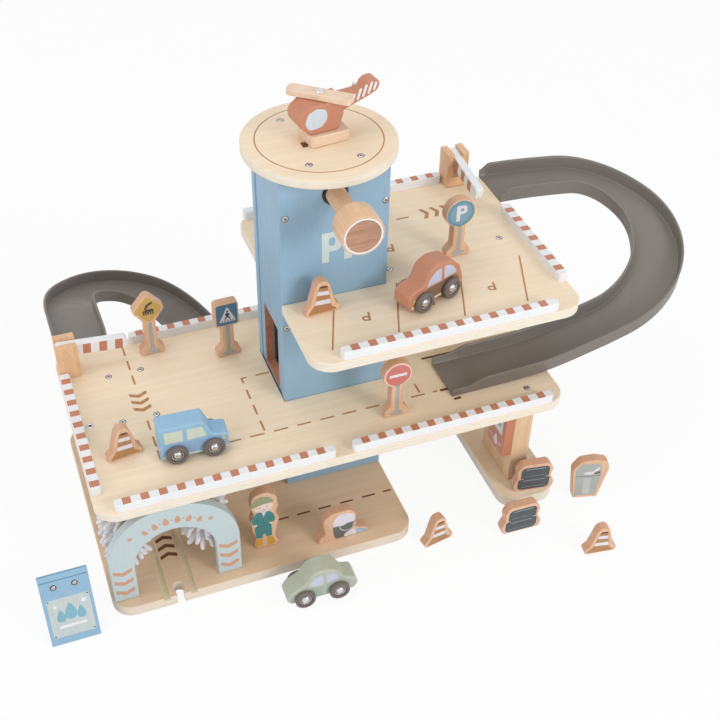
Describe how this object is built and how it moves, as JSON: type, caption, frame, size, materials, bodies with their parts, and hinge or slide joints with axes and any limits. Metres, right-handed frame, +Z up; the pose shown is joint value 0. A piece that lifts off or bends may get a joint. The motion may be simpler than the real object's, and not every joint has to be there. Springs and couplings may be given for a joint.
{
  "type": "toy parking garage",
  "caption": "Wooden toy parking garage: two decks round a crank-wound lift tower, curved ramps, car wash with mops, filling station, barriers, toy cars, helicopter and signs.",
  "frame": {"origin": "centre of the base plate's underside", "axes": "+X along the front towards the filling station, +Y to the back, +Z up"},
  "size_m": [0.7067, 0.508, 0.4326],
  "materials": {
    "birch_ply": "clear matt lacquer",
    "beech": "clear satin lacquer",
    "tower_blue": "satin paint",
    "white_paint": "satin paint",
    "mint_paint": "satin paint",
    "terracotta_paint": "satin paint",
    "sky_paint": "satin paint",
    "sage_paint": "satin paint",
    "cotton": "cotton yarn",
    "grey_plastic": "fine matt grain",
    "black_plastic": "matt",
    "tyre": "matt",
    "cord": "braided"
  },
  "bodies": {
    "garage": {"base_plate": "birch_ply", "bucket": "beech", "crossing_sign": "beech", "diamond_sign": "beech", "dowel_bushing": "black_plastic", "figure": "beech", "floor_tyre_stack": "beech", "front_floor_cone": "beech", "front_fuel_pillar": "birch_ply", "fuel_base_plate": "birch_ply", "fuel_pump": "terracotta_paint", "left_barrier_stand": "beech", "left_ramp": "grey_plastic", "left_wash_spindle": "beech", "mid_deck": "birch_ply", "mid_deck_cone": "beech", "no_entry_sign": "beech", "parking_sign": "beech", "plate_tyre_stack": "beech", "rear_fuel_pillar": "birch_ply", "right_floor_cone": "beech", "right_ramp": "grey_plastic", "right_wash_spindle": "beech", "roof_disc": "birch_ply", "sign_board_back": "sky_paint", "sign_board_front": "sky_paint", "top_deck": "birch_ply", "top_deck_cone": "beech", "top_deck_post": "birch_ply", "tower_back": "tower_blue", "tower_front": "tower_blue", "tower_left": "tower_blue", "tower_right": "tower_blue", "upper_barrier_stand": "beech", "wash_arch_front": "mint_paint", "wash_arch_middle": "mint_paint", "wash_arch_rear": "mint_paint", "waste_bin": "beech"},
    "winding": {"winding_dowel": "beech", "crank_knob": "beech", "cord_winding": "cord"},
    "lift": {"lift_floor": "birch_ply", "lift_frame": "beech", "lift_cord": "cord"},
    "left_mop": {"left_wash_mop": "cotton"},
    "right_mop": {"right_wash_mop": "cotton"},
    "left_arm": {"left_barrier_arm": "white_paint"},
    "upper_arm": {"upper_barrier_arm": "white_paint"},
    "helicopter": {"heli_base": "beech", "heli_body": "terracotta_paint"},
    "rotor": {"heli_rotor": "birch_ply"},
    "suv": {"suv_body": "sky_paint"},
    "suv_first_axle": {"suv_first_wheels": "tyre"},
    "suv_second_axle": {"suv_second_wheels": "tyre"},
    "red_car": {"red_car_body": "terracotta_paint"},
    "red_car_first_axle": {"red_car_first_wheels": "tyre"},
    "red_car_second_axle": {"red_car_second_wheels": "tyre"},
    "green_car": {"green_car_body": "sage_paint"},
    "green_car_first_axle": {"green_car_first_wheels": "tyre"},
    "green_car_second_axle": {"green_car_second_wheels": "tyre"}
  },
  "joints": [
    {"name": "left_barrier_hinge", "type": "hinge", "parent": "garage", "child": "left_arm", "pos_m": [-0.13775, 0.0845, 0.1528], "axis": [0, -1, 0], "range_deg": [0, 80]},
    {"name": "upper_barrier_hinge", "type": "hinge", "parent": "garage", "child": "upper_arm", "pos_m": [0.2794, 0.11075, 0.2706], "axis": [-1, 0, 0], "range_deg": [0, 80]},
    {"name": "crank", "type": "hinge", "parent": "garage", "child": "winding", "pos_m": [0.09945, 0.01265, 0.356], "axis": [0, 1, 0], "range_deg": [0, 1286.6]},
    {"name": "lift_slide", "type": "slide", "parent": "garage", "child": "lift", "axis": [0, 0, 1], "range_m": [0, 0.2313], "deforming": ["lift_cord"]},
    {"name": "left_mop_spin", "type": "hinge", "parent": "garage", "child": "left_mop", "pos_m": [-0.1255, -0.081, 0.08], "axis": [0, 0, 1], "continuous": true},
    {"name": "right_mop_spin", "type": "hinge", "parent": "garage", "child": "right_mop", "pos_m": [-0.0511, -0.081, 0.08], "axis": [0, 0, 1], "continuous": true},
    {"name": "helicopter_lift_off", "type": "slide", "parent": "garage", "child": "helicopter", "axis": [0, 0, 1], "range_m": [0, 0.06]},
    {"name": "rotor_spin", "type": "hinge", "parent": "helicopter", "child": "rotor", "pos_m": [0.10078, 0.01459, 0.426], "axis": [0, 0, 1], "continuous": true},
    {"name": "suv_roll", "type": "slide", "parent": "garage", "child": "suv", "axis": [0.9992, -0.0401, 0], "range_m": [0, 0.05001]},
    {"name": "suv_first_axle", "type": "hinge", "parent": "suv", "child": "suv_first_axle", "pos_m": [-0.06676, -0.06166, 0.1406], "axis": [0.0401, 0.9992, 0], "range_deg": [0, 286.48]},
    {"name": "suv_second_axle", "type": "hinge", "parent": "suv", "child": "suv_second_axle", "pos_m": [-0.03278, -0.06303, 0.1406], "axis": [0.0401, 0.9992, 0], "range_deg": [0, 286.5]},
    {"name": "red_car_roll", "type": "slide", "parent": "garage", "child": "red_car", "axis": [-0.9348, -0.3551, 0], "range_m": [-0.03001, 0.02001]},
    {"name": "red_car_first_axle", "type": "hinge", "parent": "red_car", "child": "red_car_first_axle", "pos_m": [0.1613, -0.0675, 0.2584], "axis": [0.3551, -0.9348, 0], "range_deg": [-171.89, 114.59]},
    {"name": "red_car_second_axle", "type": "hinge", "parent": "red_car", "child": "red_car_second_axle", "pos_m": [0.19309, -0.05542, 0.2584], "axis": [0.3551, -0.9348, 0], "range_deg": [-171.91, 114.61]},
    {"name": "green_car_roll", "type": "slide", "parent": "garage", "child": "green_car", "axis": [-0.9999, 0.014, 0], "range_m": [-0.04001, 0.06001]},
    {"name": "green_car_first_axle", "type": "hinge", "parent": "green_car", "child": "green_car_first_axle", "pos_m": [0.02042, -0.15805, 0.01], "axis": [-0.014, -0.9999, 0], "range_deg": [-229.18, 343.77]},
    {"name": "green_car_second_axle", "type": "hinge", "parent": "green_car", "child": "green_car_second_axle", "pos_m": [0.05442, -0.15853, 0.01], "axis": [-0.014, -0.9999, 0], "range_deg": [-229.2, 343.8]}
  ],
  "couplings": [
    {"joint": "lift_slide", "follows": "crank", "m_per_rad": 0.0103},
    {"joint": "suv_roll", "follows": "suv_first_axle", "m_per_rad": 0.01},
    {"joint": "suv_second_axle", "follows": "suv_first_axle", "ratio": 1},
    {"joint": "red_car_roll", "follows": "red_car_first_axle", "m_per_rad": 0.01},
    {"joint": "red_car_second_axle", "follows": "red_car_first_axle", "ratio": 1},
    {"joint": "green_car_roll", "follows": "green_car_first_axle", "m_per_rad": 0.01},
    {"joint": "green_car_second_axle", "follows": "green_car_first_axle", "ratio": 1}
  ]
}
